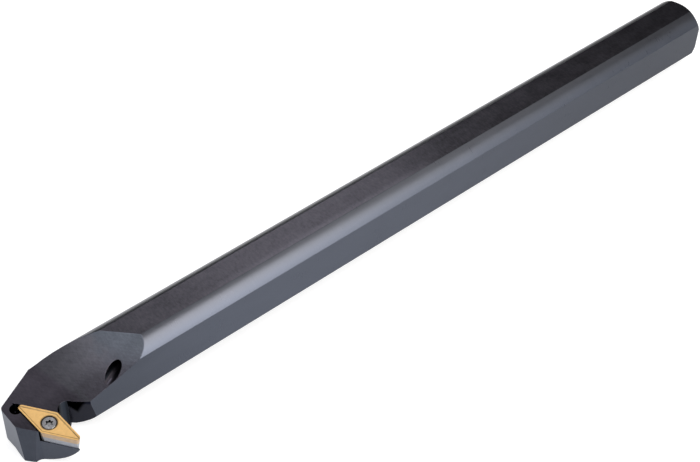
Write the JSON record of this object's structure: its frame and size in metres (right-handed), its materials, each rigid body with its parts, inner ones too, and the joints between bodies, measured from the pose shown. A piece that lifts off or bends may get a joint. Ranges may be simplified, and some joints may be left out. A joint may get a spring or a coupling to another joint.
{
  "type": "boring bar",
  "caption": "Indexable back-boring bar: round steel shank with ground flats and a coolant bore, and a milled head with a screwed-on rhombic insert.",
  "frame": {"origin": "middle of the rear end face, on the shank's axis, at the mouth of the coolant inlet", "axes": "+X along the bar to the head, +Z out of the top flat, on the side of the insert's face, +Y to the cutting nose"},
  "size_m": [0.2534, 0.0244, 0.0187],
  "materials": {
    "blackened_steel": "blackened, with ground flats and milled head",
    "coated_carbide": "satin gold coating on the top, greyer ground flanks",
    "bright_steel": "plated, fine turned"
  },
  "bodies": {
    "root": {"bar_body": "blackened_steel", "cutting_insert": "coated_carbide", "clamp_screw": "bright_steel"}
  },
  "joints": []
}
